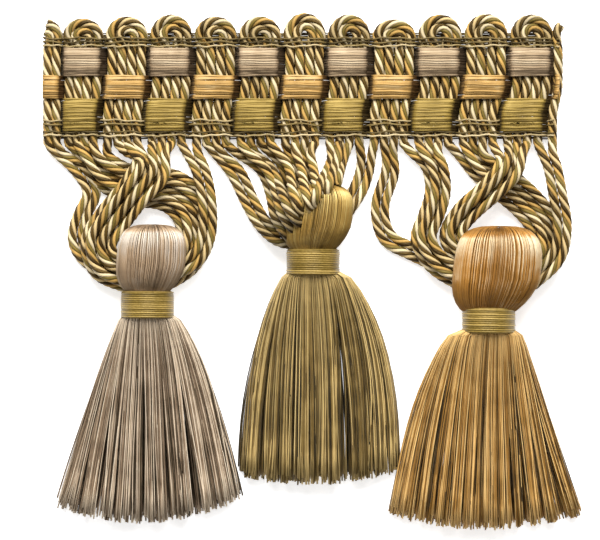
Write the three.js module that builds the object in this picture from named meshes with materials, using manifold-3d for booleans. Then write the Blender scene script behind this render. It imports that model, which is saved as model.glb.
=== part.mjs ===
// Cut length of tassel fringe trim, lying on its back. Millimetres, +Z up, +Y towards the heading.
// The origin is under the middle of the whole piece, on the surface that it rests on.
import * as THREE from "three";
import { mergeVertices } from "three/addons/utils/BufferGeometryUtils.js";
import Module from "manifold-3d";

const wasm = await Module();
wasm.setup();

// Driving dimensions
const clearance = 0.35; // between pieces that lie against each other
const cordWidth = 1.6; // of a cord's solid, with a gap of its own to the next cord
const cordHeight = 1.5;
const cordPitch = 1.95; // from one cord to the next in a column
const cordLevel = 1.95; // height of the cords' middle inside the heading
const columnPitch = 8.9;
const firstColumn = -45.1; // middle of the first whole column
const wholeColumns = 11;
const scallopCentre = 47.3; // height on the sheet of every scallop's centre
const bandThickness = 0.8;
const strandSides = 4;
const fringeTop = 27.0; // middle of the binding at the heading's lower edge
const bindingWidth = 1.2;
const layerDrop = 1.9; // length in which a loose cord takes its layer
const layerLift = 0.6; // share of the climb to its bundle that it has made there
const layerShift = 0.12; // share of the way to its bundle's side place
const cutBend = { left: Math.PI * 0.42, right: Math.PI * 0.75 }; // where the trim's ends cut a scallop

// Lengthwise bands: the lower and upper edge of each, and which columns it covers
const bands = [
  { name: "band_taupe", lower: 39.6, upper: 44.9, coversEvenColumns: true, color: 0xa99a8a },
  { name: "band_gold", lower: 35.0, upper: 39.2, coversEvenColumns: false, color: 0xc59a4e },
  { name: "band_olive", lower: 28.8, upper: 34.6, coversEvenColumns: true, color: 0xa08e3a },
];

// Bundles of loose cords, from the left end of the heading to the right. A row of stations holds
// x, y, z of the bundle's middle, the spacing of its cords and how far every second cord rides up.
const bundles = [
  {
    name: "left ring",
    cords: 2,
    stations: [
      [-49.1, 21.2, 0.85, 1.9, 0],
      [-45.9, 16.2, 0.85, 1.9, 0],
      [-47.3, 11.8, 0.85, 1.9, 0],
      [-48.3, 7.4, 0.85, 1.9, 0],
      [-45.9, 3, 0.85, 1.9, 0],
      [-41.5, -0.6, 0.85, 1.9, 0],
      [-36.7, -2.2, 0.85, 1.9, 0],
    ],
  },
  {
    name: "left under",
    cords: 5,
    stations: [
      [-41.6, 21.4, 1.8, 1.1, 1.8],
      [-35, 18.4, 1.8, 1.2, 1.8],
      [-28.6, 16.8, 1.8, 1.2, 1.8],
      [-24.3, 13, 1.8, 1.1, 1.8],
      [-23, 7.4, 1.8, 1.1, 1.8],
      [-25.5, 2.2, 1.8, 1.1, 1.8],
      [-29.9, -0.6, 2.2, 1.1, 1.8],
    ],
  },
  {
    name: "left over",
    cords: 6,
    stations: [
      [-32.7, 21.6, 5.5, 1.1, 1.8],
      [-35.9, 16, 5.4, 1.1, 1.8],
      [-40.1, 10.8, 3.8, 1.15, 1.8],
      [-43, 6.2, 3.5, 1.1, 1.8],
      [-41.9, 1.8, 3.5, 1.1, 1.8],
      [-36.3, -1, 3.8, 1, 1.8],
    ],
  },
  {
    name: "left outer",
    cords: 2,
    stations: [
      [-22.7, 21, 3.6, 1.9, 0],
      [-21.3, 15, 4.6, 1.9, 0],
      [-21.3, 7.6, 4.6, 1.9, 0],
      [-23.3, 2.2, 4.6, 1.9, 0],
      [-28.3, -0.6, 4.6, 1.9, 0],
    ],
  },
  {
    name: "middle bowl",
    cords: 2,
    stations: [
      [-15.3, 20.4, 0.85, 1.9, 0],
      [-12.2, 15, 0.85, 1.9, 0],
      [-9.7, 9.8, 0.85, 1.9, 0],
      [-5.9, 6.6, 0.85, 1.9, 0],
      [-1.1, 5.8, 1.4, 1.9, 0],
    ],
  },
  {
    name: "middle inner bowl",
    cords: 3,
    stations: [
      [-10.3, 20.8, 1.8, 1, 1.8],
      [-7.8, 16.2, 1.8, 1, 1.8],
      [-5.4, 11.6, 2, 1, 1.8],
      [-2.2, 8.6, 3, 1, 1.8],
    ],
  },
  {
    name: "middle centre",
    cords: 6,
    stations: [
      [-3.1, 21.4, 1.8, 1.05, 1.8],
      [-1.6, 17.2, 1.8, 0.97, 1.8],
      [0.7, 12.4, 3, 0.97, 1.8],
    ],
  },
  {
    name: "middle over",
    cords: 3,
    stations: [
      [5.1, 22.2, 3.9, 1.05, 1.8],
      [2.9, 18.2, 5.6, 1, 1.8],
      [1.1, 12.6, 7.2, 0.97, 1.8],
    ],
  },
  {
    name: "middle outer",
    cords: 2,
    stations: [
      [10.5, 21.4, 0.95, 1.9, 0],
      [9.1, 17, 1.4, 1.9, 0],
      [5.5, 11.4, 3, 1.9, 0],
    ],
  },
  {
    name: "right loop",
    cords: 2,
    stations: [
      [15.5, 20.6, 0.85, 1.9, 0],
      [13.3, 13, 0.85, 1.9, 0],
      [14.9, 7, 0.85, 1.9, 0],
      [19.7, 4, 0.85, 1.9, 0],
      [24.9, 1, 0.85, 1.9, 0],
      [32.5, -3.8, 0.85, 1.9, 0],
    ],
  },
  {
    name: "right ring",
    cords: 4,
    stations: [
      [24.1, 21.6, 3.5, 1.15, 1.8],
      [24.9, 16.4, 3.5, 1.1, 1.8],
      [23.5, 11.4, 3.5, 1.1, 1.8],
      [21.9, 7, 3.5, 1.1, 1.8],
      [24.3, 2.4, 3.5, 1.1, 1.8],
      [32.1, -2.6, 3.8, 1, 1.8],
    ],
  },
  {
    name: "right under",
    cords: 4,
    stations: [
      [33.9, 21.6, 1.8, 1.1, 1.8],
      [38.3, 18.6, 1.8, 1.1, 1.8],
      [42.9, 14.8, 1.8, 1.1, 1.8],
      [46.5, 9.4, 1.8, 1.1, 1.8],
      [46.5, 4.2, 1.8, 1.1, 1.8],
      [40.9, -1.4, 2.2, 1, 1.8],
    ],
  },
  {
    name: "right over",
    cords: 4,
    stations: [
      [39.3, 21.6, 5.5, 1.1, 1.8],
      [35.9, 16.4, 5.4, 1.1, 1.8],
      [31.1, 12, 3.8, 1.1, 1.8],
      [28.3, 7.4, 3.5, 1.1, 1.8],
      [31.9, 2.2, 3.8, 1, 1.8],
    ],
  },
  {
    name: "right outer",
    cords: 2,
    stations: [
      [47.7, 21.6, 3.2, 1.9, 0],
      [48.7, 15.8, 4.6, 1.9, 0],
      [49.7, 9.4, 4.6, 1.9, 0],
      [48.5, 3.4, 4.6, 1.9, 0],
      [42.1, -2.2, 4.6, 1.9, 0],
    ],
  },
];

// Tassels: the ball's middle and half sizes, the wrapped neck, and where the skirt's left corner,
// lowest middle and right corner lie. The fullness of the skirt's left and right side is 0 where it
// widens evenly and 1 where it reaches its full width soon below the neck.
const tassels = [
  {
    name: "left",
    color: 0x9a8672,
    ball: { x: -32.3, y: 2.2, halfWidth: 7.6, halfLength: 7.6, halfHeight: 6.7 },
    neck: { x: -33.1, top: -3.6, bottom: -9.0 },
    hem: { left: [-51.8, -46.6], middle: [-32.7, -49.6], right: [-14.4, -44.8] },
    fullness: [0.2, 0.45],
  },
  {
    name: "middle",
    color: 0x7a6636,
    ball: { x: 0.7, y: 10.3, halfWidth: 7.3, halfLength: 7.4, halfHeight: 6.7 },
    neck: { x: -0.1, top: 4.8, bottom: -0.4 },
    hem: { left: [-15.0, -40.4], middle: [0.9, -41.9], right: [17.2, -39.4] },
    fullness: [0.75, 0.95],
  },
  {
    name: "right",
    color: 0xa67c3c,
    ball: { x: 36.9, y: 0.0, halfWidth: 8.3, halfLength: 9.4, halfHeight: 6.9 },
    neck: { x: 34.9, top: -6.8, bottom: -12.0 },
    hem: { left: [15.4, -48.0], middle: [34.1, -51.0], right: [54.4, -48.2] },
    fullness: [0.58, 0.15],
  },
];

const flatSpot = 0.4; // depth of a ball's flattening on the floor
const neck = {
  level: 5.5, // height of the neck's middle
  coreRadius: 4.5,
  wrapRadius: 5.3,
  wrapEdge: [0.15, 0.5], // rounding of the wrap's edges, across and along
  squash: 0.96, // height of the neck against its width
  segments: 18,
};

// Layers of a skirt from the floor up: locks in the layer, its width against the hem's, the height
// of its underside at the neck and at the hem
const layers = [
  { locks: 16, reach: 1.0, neckLevel: 1.7, hemLevel: 0.0 },
  { locks: 17, reach: 0.97, neckLevel: 4.5, hemLevel: 1.9 },
  { locks: 14, reach: 0.84, neckLevel: 7.2, hemLevel: 3.7 },
];
const lock = {
  sides: 3,
  steps: [0, 0.1, 0.25, 0.45, 0.7, 1], // shares of the skirt's length
  settled: 0.45, // share of the length after which a lock lies level
  neckHalfWidth: 4.9,
  neckSpread: 0.9, // width of the locks at the neck against the neck's own
  height: 1.5,
  fill: 0.82, // width of a lock against its share of the layer
  unevenness: 0.5, // of the cut ends
};

// Core of solid floss that the locks of a skirt leave: its length, its shoulder and its tip
const root = { length: 4.5, shoulder: 1.6, tipRadius: 3.2 };

// Closed solid for joining and cutting
function toSolid(geometry) {
  const bare = geometry.clone();
  bare.deleteAttribute("normal");
  bare.deleteAttribute("uv");
  const merged = mergeVertices(bare);
  return new wasm.Manifold(
    new wasm.Mesh({
      numProp: 3,
      vertProperties: new Float32Array(merged.attributes.position.array),
      triVerts: new Uint32Array(merged.index.array),
    }),
  );
}

function toGeometry(solid) {
  const mesh = solid.getMesh();
  const geometry = new THREE.BufferGeometry();
  geometry.setAttribute("position", new THREE.BufferAttribute(mesh.vertProperties, 3));
  geometry.setIndex(new THREE.BufferAttribute(mesh.triVerts, 1));
  geometry.computeVertexNormals();
  return geometry;
}

function join(solids) {
  return solids.reduce((whole, next) => whole.add(next));
}

// Moves every point of a geometry by a function of its place
function shape(geometry, place) {
  const points = geometry.attributes.position;
  const point = new THREE.Vector3();
  for (let i = 0; i < points.count; i += 1) {
    point.fromBufferAttribute(points, i);
    place(point);
    points.setXYZ(i, point.x, point.y, point.z);
  }
  return geometry;
}

// Strand through stations, each with its place, its direction, a width and a height. Sections are
// triangles or rectangles with a flat underside.
function strand(sides, stations) {
  const turn = sides === 4 ? Math.PI / 4 : 0;
  const halfWidth = Math.sin(sides === 4 ? turn : Math.PI / 3);
  const low = sides === 4 ? -Math.SQRT1_2 : -0.5;
  const high = sides === 4 ? Math.SQRT1_2 : 1;
  const rod = new THREE.CylinderGeometry(1, 1, 1, sides, stations.length - 1, false, turn);
  const up = new THREE.Vector3(0, 0, 1);
  return shape(rod, (point) => {
    const { place, along, width, height } = stations[Math.round((0.5 - point.y) * (stations.length - 1))];
    const across = new THREE.Vector3().crossVectors(up, along).normalize();
    const lift = new THREE.Vector3().crossVectors(along, across);
    const sideways = (point.x / halfWidth) * (width / 2);
    const upward = ((point.z - (low + high) / 2) / (high - low)) * height;
    point.copy(place).addScaledVector(across, sideways).addScaledVector(lift, upward);
  });
}

const cordStation = (place, along) => ({ place, along, width: cordWidth, height: cordHeight });

// Places across the heading of every cord, from left to right. The cut ends keep part of a column.
function cordPlaces() {
  const places = [];
  for (let column = -1; column <= wholeColumns; column += 1) {
    for (let run = 0; run < 4; run += 1) {
      const cutAway = (column === -1 && run < 2) || (column === wholeColumns && run > 0);
      if (!cutAway) {
        places.push(firstColumn + column * columnPitch + (run - 1.5) * cordPitch);
      }
    }
  }
  return places;
}

// Scallop: one cord up one side of a column, over the top and down the other side. A cut end of
// the trim keeps only the part of the bend between two angles.
function scallop(centre, radius, from, to) {
  const bend = 5;
  const stations = [];
  if (from === Math.PI) {
    const foot = new THREE.Vector3(centre - radius, fringeTop, cordLevel);
    stations.push(cordStation(foot, new THREE.Vector3(0, 1, 0)));
  }
  for (let i = 0; i <= bend; i += 1) {
    const angle = from + ((to - from) * i) / bend;
    const outward = new THREE.Vector3(Math.cos(angle), Math.sin(angle), 0);
    const place = new THREE.Vector3(centre, scallopCentre, cordLevel).addScaledVector(outward, radius);
    stations.push(cordStation(place, new THREE.Vector3(outward.y, -outward.x, 0)));
  }
  if (to === 0) {
    const foot = new THREE.Vector3(centre + radius, fringeTop, cordLevel);
    stations.push(cordStation(foot, new THREE.Vector3(0, -1, 0)));
  }
  return strand(strandSides, stations);
}

function headingCords() {
  const solids = [];
  for (let column = 0; column < wholeColumns; column += 1) {
    const centre = firstColumn + column * columnPitch;
    solids.push(toSolid(scallop(centre, 1.5 * cordPitch, Math.PI, 0)));
    solids.push(toSolid(scallop(centre, 0.5 * cordPitch, Math.PI, 0)));
  }
  const leftEnd = firstColumn - columnPitch;
  const rightEnd = firstColumn + wholeColumns * columnPitch;
  solids.push(toSolid(scallop(leftEnd, 1.5 * cordPitch, cutBend.left, 0)));
  solids.push(toSolid(scallop(leftEnd, 0.5 * cordPitch, cutBend.left, 0)));
  solids.push(toSolid(scallop(rightEnd, 1.5 * cordPitch, Math.PI, cutBend.right)));
  return solids;
}

// Loose cord number `order` of a bundle. It leaves the binding straight, takes its layer of the
// bundle first and its side place after that, and follows the stations.
function looseCord(bundle, order, startX) {
  const ride = order % 2 === 0 ? -0.5 : 0.5;
  const sideways = order - (bundle.cords - 1) / 2;
  const down = new THREE.Vector3(0, -1, 0);
  const exit = new THREE.Vector3(startX, fringeTop - bindingWidth, cordLevel);
  const [firstX, , firstZ, , firstStagger] = bundle.stations[0];
  const layered = new THREE.Vector3(
    startX + (firstX - startX) * layerShift,
    exit.y - layerDrop,
    cordLevel + (firstZ - cordLevel) * layerLift + ride * firstStagger,
  );
  const middles = bundle.stations.map(([x, y]) => new THREE.Vector2(x, y));
  const points = bundle.stations.map(([x, y, z, spacing, stagger], i) => {
    const before = middles[Math.max(i - 1, 0)];
    const after = middles[Math.min(i + 1, middles.length - 1)];
    const along = after.clone().sub(before).normalize();
    return new THREE.Vector3(
      x - along.y * sideways * spacing,
      y + along.x * sideways * spacing,
      z + ride * stagger,
    );
  });
  const curve = new THREE.CatmullRomCurve3([exit, layered, ...points], false, "centripetal");
  const steps = bundle.stations.length + 4;
  const stations = [
    cordStation(new THREE.Vector3(startX, fringeTop, cordLevel), down),
    cordStation(exit, down),
  ];
  for (let i = 1; i <= steps; i += 1) {
    stations.push(cordStation(curve.getPoint(i / steps), curve.getTangent(i / steps)));
  }
  return strand(strandSides, stations);
}

function looseCords() {
  const places = cordPlaces();
  const solids = [];
  let next = 0;
  bundles.forEach((bundle) => {
    for (let order = 0; order < bundle.cords; order += 1) {
      solids.push(toSolid(looseCord(bundle, order, places[next])));
      next += 1;
    }
  });
  return solids;
}

// Outer sides of the heading's first and last cords
function headingEnds() {
  const places = cordPlaces();
  return [places[0] - cordWidth / 2, places[places.length - 1] + cordWidth / 2];
}

// Binding that the upright runs and the loose cords are fused to
function backing() {
  const [left, right] = headingEnds();
  const proud = 0.3; // past the cords, at the ends, in front and behind
  const strip = new THREE.BoxGeometry(right - left + 2 * proud, bindingWidth, cordHeight + 2 * proud);
  return strip.translate((left + right) / 2, fringeTop, cordLevel);
}

// Ball of a tassel with a small flat spot on the floor, grown by `margin` where it cuts the cords
function ball({ x, y, halfWidth, halfLength, halfHeight }, margin) {
  const sphere = new THREE.SphereGeometry(1, 18, 12);
  const level = halfHeight - flatSpot;
  const floor = margin > 0 ? -1 : 0;
  return shape(sphere, (point) => {
    point.x = x + point.x * (halfWidth + margin);
    point.y = y + point.y * (halfLength + margin);
    point.z = Math.max(level + point.z * (halfHeight + margin), floor);
  });
}

// Turned piece about the neck's own axis, which runs along Y
function turned(profile, tassel) {
  const lathe = new THREE.LatheGeometry(
    profile.map(([radius, y]) => new THREE.Vector2(radius, y)),
    neck.segments,
  );
  lathe.scale(1, 1, neck.squash);
  return lathe.translate(tassel.neck.x, 0, neck.level);
}

function neckCore(tassel, margin) {
  const { top, bottom } = tassel.neck;
  const profile = [
    [0, bottom - root.length],
    [root.tipRadius + margin, bottom - root.length],
    [lock.neckHalfWidth + margin, bottom - root.shoulder],
    [lock.neckHalfWidth + margin, bottom - clearance],
    [neck.coreRadius + margin, bottom - clearance],
    [neck.coreRadius + margin, top + neck.coreRadius / 2],
    [0, top + neck.coreRadius / 2],
  ];
  return turned(profile, tassel);
}

function neckGroove(tassel) {
  const { top, bottom } = tassel.neck;
  const outside = 2 * neck.wrapRadius;
  const profile = [
    [neck.coreRadius, bottom - clearance],
    [outside, bottom - clearance],
    [outside, top + clearance],
    [neck.coreRadius, top + clearance],
    [neck.coreRadius, bottom - clearance],
  ];
  return turned(profile, tassel);
}

function neckWrap(tassel) {
  const { top, bottom } = tassel.neck;
  const inside = neck.coreRadius + clearance;
  const [across, along] = neck.wrapEdge;
  const profile = [
    [inside, bottom],
    [neck.wrapRadius - across, bottom],
    [neck.wrapRadius, bottom + along],
    [neck.wrapRadius, top - along],
    [neck.wrapRadius - across, top],
    [inside, top],
    [inside, bottom],
  ];
  return turned(profile, tassel);
}

// Value of the curve through three hem values at u = -1, 0 and 1
function throughThree(left, middle, right, u) {
  return middle + ((right - left) / 2) * u + ((right + left) / 2 - middle) * u * u;
}

// Share of its width that a skirt has reached at the share t of its length, at the side place u
function opened(fullness, u, t) {
  const full = fullness[0] * (0.5 - u / 2) + fullness[1] * (0.5 + u / 2);
  return t + full * (1 - (1 - t) ** 3 - t);
}

// Lock of a skirt: it leaves the neck, comes down to its layer's level and runs level to the hem
function skirtLock(tassel, layer, order) {
  const { hem, fullness } = tassel;
  const u = (2 * (order + 0.5)) / layer.locks - 1;
  const along = u * layer.reach;
  const start = tassel.neck.bottom - clearance - 0.1;
  const uneven = lock.unevenness * (Math.sin(order * 2.4 + layer.locks) - 1);
  const hemX = throughThree(hem.left[0], hem.middle[0], hem.right[0], along);
  const hemY = throughThree(hem.left[1], hem.middle[1], hem.right[1], along) - uneven;
  const offCentre = (layer.neckLevel + lock.height / 2 - neck.level) / lock.neckHalfWidth;
  const startHalf = lock.neckSpread * lock.neckHalfWidth * Math.sqrt(1 - offCentre * offCentre);
  const startX = tassel.neck.x + u * startHalf;
  const hemPitch = ((hem.right[0] - hem.left[0]) * layer.reach) / layer.locks;
  const neckPitch = (2 * startHalf) / layer.locks;
  const places = lock.steps.map((t) => {
    const settle = 1 - Math.min(t / lock.settled, 1);
    return new THREE.Vector3(
      startX + (hemX - startX) * opened(fullness, u, t),
      start + (hemY - start) * t,
      layer.hemLevel + (layer.neckLevel - layer.hemLevel) * settle * settle + lock.height / 2,
    );
  });
  const stations = places.map((place, i) => ({
    place,
    along: new THREE.Vector3(0, -1, 0),
    width: lock.fill * (neckPitch + (hemPitch - neckPitch) * opened(fullness, u, lock.steps[i])),
    height: lock.height,
  }));
  return strand(lock.sides, stations);
}

function tasselSolid(tassel) {
  const body = toSolid(ball(tassel.ball, 0)).add(toSolid(neckCore(tassel, 0)));
  const collared = body.subtract(toSolid(neckGroove(tassel)));
  const locks = [];
  layers.forEach((layer) => {
    for (let order = 0; order < layer.locks; order += 1) {
      locks.push(toSolid(skirtLock(tassel, layer, order)));
    }
  });
  return join([collared, ...locks]);
}

// Floss band: its outline, seen from the lower edge, steps over a column and behind the next one
function band({ lower, upper, coversEvenColumns }) {
  const frontTop = cordLevel + cordHeight / 2 + clearance + bandThickness;
  const frontLow = frontTop - bandThickness;
  const half = bandThickness / 2;
  const [left, right] = headingEnds();
  const over = [];
  const under = [];
  let inFront = !coversEvenColumns;
  over.push([left, inFront ? frontTop : bandThickness]);
  under.push([left, inFront ? frontLow : 0]);
  for (let column = 0; column <= wholeColumns; column += 1) {
    const x = firstColumn + (column - 0.5) * columnPitch;
    const step = inFront ? half : -half;
    const [nextTop, nextLow] = inFront ? [bandThickness, 0] : [frontTop, frontLow];
    over.push([x + step, over[over.length - 1][1]], [x + step, nextTop]);
    under.push([x - step, under[under.length - 1][1]], [x - step, nextLow]);
    inFront = !inFront;
  }
  over.push([right, over[over.length - 1][1]]);
  under.push([right, under[under.length - 1][1]]);
  const outline = [...under, ...over.reverse()].map(([x, z]) => new THREE.Vector2(x, z));
  const meander = new THREE.ExtrudeGeometry(new THREE.Shape(outline), {
    depth: upper - lower,
    bevelEnabled: false,
  });
  return meander.rotateX(Math.PI / 2).translate(0, upper, 0);
}

// Binding thread across the front of the cords, above the top band
function bindingTop() {
  const [left, right] = headingEnds();
  const thickness = 0.4;
  const strip = new THREE.BoxGeometry(right - left, bindingWidth, thickness);
  const level = cordLevel + cordHeight / 2 + clearance + thickness / 2;
  return strip.translate((left + right) / 2, bands[0].upper + clearance + bindingWidth / 2, level);
}

function cords() {
  const whole = join([toSolid(backing()), ...headingCords(), ...looseCords()]);
  return tassels.reduce((left, tassel) => {
    const wrapped = neck.wrapRadius + clearance - neck.coreRadius;
    const seat = toSolid(ball(tassel.ball, clearance)).add(toSolid(neckCore(tassel, wrapped)));
    return left.subtract(seat);
  }, whole);
}

function piece(name, geometry, color, roughness) {
  const material = new THREE.MeshStandardMaterial({ color, roughness, metalness: 0 });
  const mesh = new THREE.Mesh(geometry, material);
  mesh.name = name;
  return mesh;
}

const group = new THREE.Group();
group.add(piece("cords", toGeometry(cords()), 0xb89a50, 0.6));
bands.forEach((row) => {
  group.add(piece(row.name, band(row), row.color, 0.45));
});
group.add(piece("binding_top", bindingTop(), 0x8a7a50, 0.6));
tassels.forEach((tassel) => {
  group.add(piece(`tassel_${tassel.name}`, toGeometry(tasselSolid(tassel)), tassel.color, 0.4));
  group.add(piece(`neck_${tassel.name}`, neckWrap(tassel), 0x9a8a3c, 0.45));
});

export default group;
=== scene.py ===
import bpy
import numpy as np
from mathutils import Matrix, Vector


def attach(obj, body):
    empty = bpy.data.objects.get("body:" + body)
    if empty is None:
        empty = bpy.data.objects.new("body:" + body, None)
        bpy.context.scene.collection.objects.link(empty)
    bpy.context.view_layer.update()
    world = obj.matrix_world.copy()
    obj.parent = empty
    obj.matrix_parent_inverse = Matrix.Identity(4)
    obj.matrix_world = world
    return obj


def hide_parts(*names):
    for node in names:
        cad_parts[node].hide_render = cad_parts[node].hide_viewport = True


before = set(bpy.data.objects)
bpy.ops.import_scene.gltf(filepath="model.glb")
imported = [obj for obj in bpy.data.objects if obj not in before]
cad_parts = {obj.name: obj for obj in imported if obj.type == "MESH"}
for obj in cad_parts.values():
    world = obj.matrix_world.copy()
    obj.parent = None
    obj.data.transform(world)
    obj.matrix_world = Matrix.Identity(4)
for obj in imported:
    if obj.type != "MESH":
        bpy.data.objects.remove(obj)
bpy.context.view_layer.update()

# Camera: it hangs straight above the trim, which lies on its back with the heading away from
# the viewer. A long lens from 0.67 m keeps the cords and skirts free of perspective.
view_width = 0.120
view_middle = (-0.0027, 0.0006)
view_level = 0.003
overhead_data = bpy.data.cameras.new("overhead")
overhead_data.lens = 200.0
overhead_data.sensor_width = 36.0
overhead = bpy.data.objects.new("overhead", overhead_data)
view_distance = view_width * overhead_data.lens / overhead_data.sensor_width
overhead.location = (*view_middle, view_distance + view_level)
bpy.context.scene.collection.objects.link(overhead)
bpy.context.scene.camera = overhead


# Twisted cords: viscose cord of six yarns in cream, gold, olive and brown, laid up together
# with a left-hand twist. One cord runs up a column of the heading, round a scallop and down
# again, and both of its ends hang loose below the binding and are drawn into a tassel's head.
def linear(code):
    """Turns an sRGB hex colour to linear red, green, blue and alpha, by the sRGB curve."""
    parts = [int(code[i : i + 2], 16) / 255.0 for i in (0, 2, 4)]
    return [p / 12.92 if p <= 0.04045 else ((p + 0.055) / 1.055) ** 2.4 for p in parts] + [1.0]


def add_node(material, kind, inputs=(), **settings):
    """Adds one node. Settings are its own properties, inputs its sockets' values or links."""
    made = material.node_tree.nodes.new(kind)
    for name, value in settings.items():
        setattr(made, name, value)
    for name, value in dict(inputs).items():
        if isinstance(value, bpy.types.NodeSocket):
            material.node_tree.links.new(value, made.inputs[name])
        else:
            made.inputs[name].default_value = value
    return made


def unit(vectors):
    """Each vector divided by its own length."""
    return vectors / np.linalg.norm(vectors, axis=-1, keepdims=True)


def smooth(x):
    """Soft step from 0 to 1: 3 x^2 - 2 x^3 of x held between 0 and 1."""
    x = np.clip(x, 0.0, 1.0)
    return x * x * (3.0 - 2.0 * x)


def rings(paths, up, half_width, half_height, sides, turn=0.0):
    """Carries an ellipse along each path. A point is the path's place, plus across times the
    half width times cos(angle), plus lift times the half height times sin(angle), where across
    is up x direction and lift is direction x across."""
    direction = unit(np.gradient(paths, axis=1))
    across = unit(np.cross(up, direction))
    lift = np.cross(direction, across)
    angle = turn + 2.0 * np.pi * np.arange(sides) / sides
    wide = np.broadcast_to(half_width, paths.shape[:2])[..., None] * np.cos(angle)
    high = np.broadcast_to(half_height, paths.shape[:2])[..., None] * np.sin(angle)
    return paths[:, :, None] + across[:, :, None] * wide[..., None] + lift[:, :, None] * high[..., None]


def thread_part(points, **marks):
    """Walls and end faces of tubes through rings of points, as (tubes, steps, sides, 3) in mm.
    The UV map holds the share of the way round and the way along in mm."""
    tubes, steps, sides = points.shape[:3]
    index = np.arange(tubes * steps * sides).reshape(tubes, steps, sides)
    after = np.roll(index, -1, axis=2)
    walls = np.stack([index[:, :-1], after[:, :-1], after[:, 1:], index[:, 1:]], axis=-1)
    middles = points.mean(axis=2)
    gone = np.linalg.norm(np.diff(middles, axis=1), axis=2)
    along = np.concatenate([np.zeros((tubes, 1)), np.cumsum(gone, axis=1)], axis=1)[:, :, None]
    along = np.broadcast_to(along, index.shape)
    round_it = np.broadcast_to(np.arange(sides) / sides, index[:, :-1].shape)
    u = np.stack([round_it, round_it + 1.0 / sides, round_it + 1.0 / sides, round_it], axis=-1)
    v = np.stack([along[:, :-1], along[:, :-1], along[:, 1:], along[:, 1:]], axis=-1)
    ends = np.concatenate([index[:, 0, ::-1], index[:, -1]])
    uv = np.concatenate([np.stack([u, v], axis=-1).reshape(-1, 2), np.zeros((ends.size, 2))])
    values = {name: np.broadcast_to(mark, index.shape).ravel() for name, mark in marks.items()}
    return points.reshape(-1, 3), walls.reshape(-1, 4).tolist() + ends.tolist(), uv, values


def add_piece(name, parts, material, finish, *nodes):
    """Joins the parts, in mm, to one smooth mesh in metres with its UV map and its marks."""
    faces = []
    start = 0
    for points, polygons, _, _ in parts:
        faces += [[corner + start for corner in polygon] for polygon in polygons]
        start += len(points)
    mesh = bpy.data.meshes.new(name)
    mesh.from_pydata((np.concatenate([part[0] for part in parts]) / 1000.0).tolist(), [], faces)
    layer = mesh.uv_layers.new(name="thread")
    layer.data.foreach_set("uv", np.concatenate([part[2] for part in parts]).astype(np.float32).ravel())
    for mark in parts[0][3]:
        values = np.concatenate([part[3][mark] for part in parts]).astype(np.float32)
        mesh.attributes.new(mark, "FLOAT", "POINT").data.foreach_set("value", values)
    mesh.shade_smooth()
    mesh.materials.append(material)
    piece = bpy.data.objects.new(name, mesh)
    bpy.context.scene.collection.objects.link(piece)
    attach(piece, "root")
    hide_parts(*nodes)
    return piece


# Sizes in mm, as all of this script's shapes are. In one lay a yarn goes once round its cord.
cord_radius = 0.98
yarn_radius = 0.365
yarn_width = 1.12
yarn_sides = 5
yarns_in_cord = 6
cord_lay = 8.6
cord_step = 0.6
cord_level = 1.95
cord_pitch = 1.95
column_pitch = 8.9
first_column = -45.1
last_column = 11
scallop_centre = 47.3
loose_from = 25.8
floor_gap = 0.03

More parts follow.
